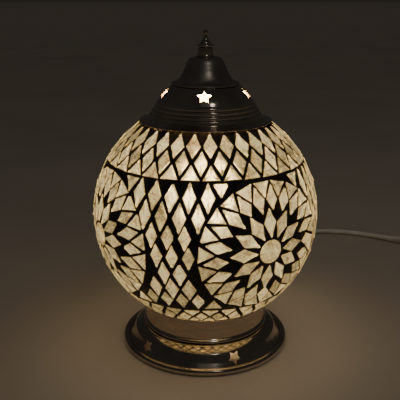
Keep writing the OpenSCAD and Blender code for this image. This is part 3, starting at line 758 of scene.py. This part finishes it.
# A tile's section, from the back up: distance inwards, radius, and how much painted shade darkens the tile
# there, strongest at its edge
BACK_TOP = 98           # radii below this belong to the back, which is neither tilted nor raised
FLAT = [(0, 97.2, 1.0), (0, 99.25, 1.0), (0.12, 99.72, 0.8), (0.45, 99.96, 0.15), (1.05, 100.02, 0.0),
        (2.2, 100.06, 0.0)]
NUGGET = [(0, 97.2, 1.0), (0, 98.9, 1.0), (0.35, 99.7, 0.6), (1.2, 100.5, 0.3), (3, 101.2, 0.1),
          (5.5, 101.6, 0.0)]
CUT_STEP = 1.7          # spacing of the points along a hand-cut side
CROWN = 0.05            # rise of a tile's middle over its last section
globe_centre = np.array([0, 0, GLOBE_Z])


# ---------------------------------------------------------------- tiles
def sides_of(corners):
    return zip(corners, corners[1:] + corners[:1])


def hand_cut(outline):
    """Corners a little out of place, and some of the sharp ones snipped off; a disc only gets uneven."""
    if len(outline) > 6:
        return [(x * dice.uniform(0.97, 1.02), y * dice.uniform(0.97, 1.02)) for x, y in outline]
    mx, my = (sum(p[i] for p in outline) / len(outline) for i in (0, 1))
    points = []
    for x, y in outline:
        d = math.hypot(x - mx, y - my)
        inward, aside = dice.uniform(-0.3, 0.3), dice.uniform(-0.25, 0.25)
        ux, uy = (x - mx) / d, (y - my) / d
        points.append((x - inward * ux - aside * uy, y - inward * uy + aside * ux))
    out = []
    for i, p in enumerate(points):
        before, after = points[i - 1], points[(i + 1) % len(points)]
        snip = dice.uniform(0.9, 2.2) if dice.random() < 0.14 else 0.15
        for other in (before, after):
            d = math.dist(other, p)
            out.append((p[0] + (other[0] - p[0]) * snip / d, p[1] + (other[1] - p[1]) * snip / d))
    return out


def inset(points, distance):
    """A convex outline, listed anticlockwise, moved inwards."""
    out = []
    for i in range(len(points)):
        a, p, b = np.array(points[i - 1]), np.array(points[i]), np.array(points[(i + 1) % len(points)])
        u, v = (p - a) / np.linalg.norm(p - a), (b - p) / np.linalg.norm(b - p)
        nu, nv = np.array([-u[1], u[0]]), np.array([-v[1], v[0]])
        slant = nu + nv
        slant = slant / max(np.dot(slant, nu), 0.35)
        out.append(p + distance * slant)
    return out


def trimmed(group, outline):
    """The outline, made anticlockwise and moved by its group's trim."""
    area = sum(a[0] * b[1] - a[1] * b[0] for a, b in sides_of(outline))
    return [tuple(p) for p in inset(outline if area > 0 else outline[::-1], TRIM[group])]


def wavy(corners):
    """The outline with more points on its sides, each a little off the straight line."""
    points = []
    for a, b in sides_of(corners):
        side = math.dist(a, b)
        cuts = max(1, int(side / CUT_STEP))
        for j in range(cuts):
            off = 0.0 if j == 0 else dice.uniform(-0.1, 0.1)
            points.append((a[0] + (b[0] - a[0]) * j / cuts - (b[1] - a[1]) / side * off,
                           a[1] + (b[1] - a[1]) * j / cuts + (b[0] - a[0]) / side * off))
    return points


def add_tile(slab, place, corners, levels):
    """Adds one tile to its group's mesh: a section at each level, a low crown and a flat back."""
    points = wavy(corners)
    own_tone, raised = dice.random(), dice.uniform(-0.18, 0.12)
    tilt_x, tilt_y = dice.gauss(0, 0.012), dice.gauss(0, 0.012)
    first, n = len(slab["verts"]), len(points)
    for distance, radius, edge_shade in levels:
        loop = inset(points, distance) if distance else [np.array(p) for p in points]
        for x, y in loop:
            rise = raised + tilt_x * x + tilt_y * y if radius > BACK_TOP else 0
            slab["verts"].append(place @ np.array([x, y, radius + rise]) + globe_centre)
            slab["edge"].append(edge_shade)
    middle = np.mean(points, axis=0)
    crown = levels[-1][1] + CROWN + raised
    top = len(slab["verts"])
    slab["verts"].append(place @ np.array([middle[0], middle[1], crown]) + globe_centre)
    slab["edge"].append(0.0)
    slab["tone"] += [own_tone] * (top + 1 - first)
    rim = top - n
    front = [[ring_start + k, ring_start + (k + 1) % n, ring_start + n + (k + 1) % n, ring_start + n + k]
             for ring_start in range(first, rim, n) for k in range(n)]
    front += [[rim + k, rim + (k + 1) % n, top] for k in range(n)]
    slab["faces"] += front + [[first + k for k in range(n)][::-1]]
    slab["index"] += [0] * len(front) + [1]


placed = []             # frame and outline of every tile, for the grout
for group, tiles in MOSAIC.items():
    slab = {"verts": [], "faces": [], "index": [], "tone": [], "edge": []}
    for place, outline in tiles:
        corners = hand_cut(trimmed(group, outline))
        placed.append((place, corners))
        add_tile(slab, place, corners, NUGGET if group == "rosette_discs" else FLAT)
    piece(group + "_cut", slab["verts"], slab["faces"], ["tile", "tile_back"], "lamp", [group],
          38, slab["index"], {"tone": slab["tone"], "edge": slab["edge"]})

# ---------------------------------------------------------------- grout
GROUT_LOW = 98.9        # radius of the paste away from tiles
GROUT_UNDER = 0.7       # how far it stays under a tile's face
GROUT_LAP = 0.45        # how far it runs in under a tile's edge
LINE_LATS = (30.5, -37.4)   # the two thin lines between the bands
LINE_R = 99.25
SMOOTH_LAT = -53.6      # below this the paste is smooth


def tile_distances(directions):
    """For each direction: mm to the nearest tile (negative under it), the radius of its face, and where
    a point under the tile moves to, just inside the edge."""
    away = np.full(len(directions), 1e9)
    face_r = np.full(len(directions), float(TILE_R))
    rim = directions.copy()
    for place, corners in placed:
        right, upward, out = place[:, 0], place[:, 1], place[:, 2]
        near = np.nonzero(directions @ out > 0.975)[0]
        facing = directions[near] @ out
        x = TILE_R * (directions[near] @ right) / facing
        y = TILE_R * (directions[near] @ upward) / facing
        gap, nx, ny = np.full(len(near), -1e9), np.zeros(len(near)), np.zeros(len(near))
        for a, b in sides_of(corners):
            side = math.dist(a, b)
            if side < 0.05:
                continue
            ex, ey = (b[1] - a[1]) / side, -(b[0] - a[0]) / side
            beyond = (x - a[0]) * ex + (y - a[1]) * ey
            more = beyond > gap
            gap[more], nx[more], ny[more] = beyond[more], ex, ey
        closer = gap < away[near]
        found = near[closer]
        away[found] = gap[closer]
        face_r[found] = (TILE_R / facing)[closer]
        step = -GROUT_LAP - gap[closer]
        moved = (right * (x[closer] + step * nx[closer])[:, None]
                 + upward * (y[closer] + step * ny[closer])[:, None] + TILE_R * out)
        rim[found] = moved / np.linalg.norm(moved, axis=1)[:, None]
    return away, face_r, rim


def make_grout():
    """Black paste between the tiles: a skin that climbs to each tile's edge and stops just under it."""
    az, lat = np.meshgrid(np.radians(np.arange(0, 360, 0.5)), np.radians(np.arange(-55.8, 57.7, 0.5)))
    directions = np.stack([np.cos(lat) * np.sin(az), -np.cos(lat) * np.cos(az), np.sin(lat)], -1)
    directions = directions.reshape(-1, 3)
    away, face_r, rim = tile_distances(directions)
    rough = np.array([dice.gauss(0, 0.05) for _ in range(len(directions))])
    climb = np.exp(-np.maximum(away, 0) / 0.8)
    under_face = face_r - GROUT_UNDER
    radius = np.where(away > 0, GROUT_LOW + climb * (under_face - GROUT_LOW), under_face) + rough
    flat_lat = lat.ravel()
    for line_lat in LINE_LATS:
        off_line = np.abs(flat_lat - math.radians(line_lat)) / math.radians(1)
        radius = np.maximum(radius, LINE_R - 6 * off_line + rough)
    radius = np.clip(radius, 98.2, 99.9)
    radius[np.degrees(flat_lat) < SMOOTH_LAT] = GROUT_LOW
    hidden = away < -GROUT_LAP
    directions[hidden] = rim[hidden]
    points = directions * radius[:, None] + globe_centre
    rows, cols = az.shape
    seen = (away > -GROUT_LAP).reshape(rows, cols)
    faces = []
    for i in range(rows - 1):
        for j in range(cols):
            k = (j + 1) % cols
            if seen[i, j] or seen[i, k] or seen[i + 1, j] or seen[i + 1, k]:
                faces.append((i * cols + j, i * cols + k, (i + 1) * cols + k, (i + 1) * cols + j))
    used = sorted({v for face in faces for v in face})
    place_of = {v: i for i, v in enumerate(used)}
    piece("grout_paste", points[used].tolist(), [[place_of[v] for v in face] for face in faces], ["grout"],
          "lamp", ["grout"], 80)


make_grout()

# ---------------------------------------------------------------- carried-over CAD pieces
# Names, finish and width of the softened edges
CARRIED = [
    (("bridge_bar", "tube_nuts", "lock_washer", "cap_rod", "cap_nut", "cap_washer", "switch_screws"),
     "zinc", 0.25),
    (("threaded_tube", "centre_contact", "side_contact", "terminal_screws", "switch_contacts"),
     "brass", 0.12),
    (("holder_dome", "holder_shell"), "phenolic", 0.4),
    (("holder_core",), "porcelain", 0.3),
    (("bedding_ring",), "plaster", 0.3),
    (("bulb_insulator",), "black_glass", 0.1),
    (("bulb_tip", "plug_pins"), "nickel", 0.1),
    (("bulb_stem",), "glass", 0.1),
    (("bulb_filaments",), "filament", 0.1),
    (("switch_base", "switch_cover"), "plastic", 0.7),
    (("switch_rocker",), "plastic", 0.5),
    (("plug_sleeves",), "tie", 0.1),
]
for names, mat, soft_edge in CARRIED:
    for name in names:
        ob = cad[name]
        ob.data.materials.clear()
        ob.data.materials.append(finishes[mat])
        weld = ob.modifiers.new("weld", "WELD")
        weld.merge_threshold = 1e-6
        bevel = ob.modifiers.new("edges", "BEVEL")
        bevel.width = soft_edge * MM
        bevel.segments = 3
        bevel.limit_method = "ANGLE"
        bevel.angle_limit = math.radians(40)

# ---------------------------------------------------------------- stage and light, in metres
bpy.ops.mesh.primitive_plane_add(size=160, location=(0, 70, -0.0002))
floor = bpy.context.object
floor.name = "floor"
floor.data.materials.append(finish_of("floor_paint", (0.52, 0.45, 0.37), 0.62, vary=0.04, scale=4.0,
                                      bump=0.04, bump_scale=200.0))

world = bpy.data.worlds.new("studio")
world.use_nodes = True
scene.world = world
background = world.node_tree.nodes["Background"]
background.inputs[0].default_value = (0.36, 0.33, 0.30, 1)
background.inputs[1].default_value = 0.06


def lamp(name, kind, at, aim, energy, size, color=(1, 0.95, 0.88), unseen=False):
    """A light; an unseen one shows in no reflection and through no glass."""
    data = bpy.data.lights.new(name, kind)
    data.energy = energy
    data.color = color
    if kind == "AREA":
        data.size = size
    else:
        data.shadow_soft_size = size
    ob = bpy.data.objects.new(name, data)
    ob.location = at
    if aim:
        ob.rotation_euler = (Vector(aim) - Vector(at)).to_track_quat("-Z", "Y").to_euler()
    scene.collection.objects.link(ob)
    ob.visible_camera = False
    ob.visible_glossy = not unseen
    ob.visible_transmission = not unseen
    return ob


lamp("room", "AREA", (0, 12, 12), (0, 12, 0), 220, 40, unseen=True)
lamp("pool", "AREA", (0.42, -0.3, 1.1), (0.42, -0.3, 0), 0.72, 0.6, unseen=True)
lamp("side_fill", "AREA", (-1.4, -1.2, 1.6), (0, 0, 0.12), 0.25, 1.6, unseen=True)
lamp("front_panel", "AREA", (0.1, -1.5, 1.95), (0, 0, 0.25), 0.12, 0.95)
lamp("front_spot", "AREA", (0.41, -1.1, 1.5), (0, 0, 0.1), 0.5, 0.2)
floor_glow = lamp("floor_glow", "AREA", (0, 0, 0.06), (0, 0, 0), 0.046, 0.29, (1.0, 0.81, 0.58), True)
floor_glow.data.shape = "DISK"
lamp("bulb_up", "POINT", (0, 0, 0.181), None, 5, 0.012, (1.0, 0.78, 0.48), True)
lamp("bulb_down", "POINT", (0, 0, 0.026), None, 0.003, 0.02, (1.0, 0.62, 0.32), True)
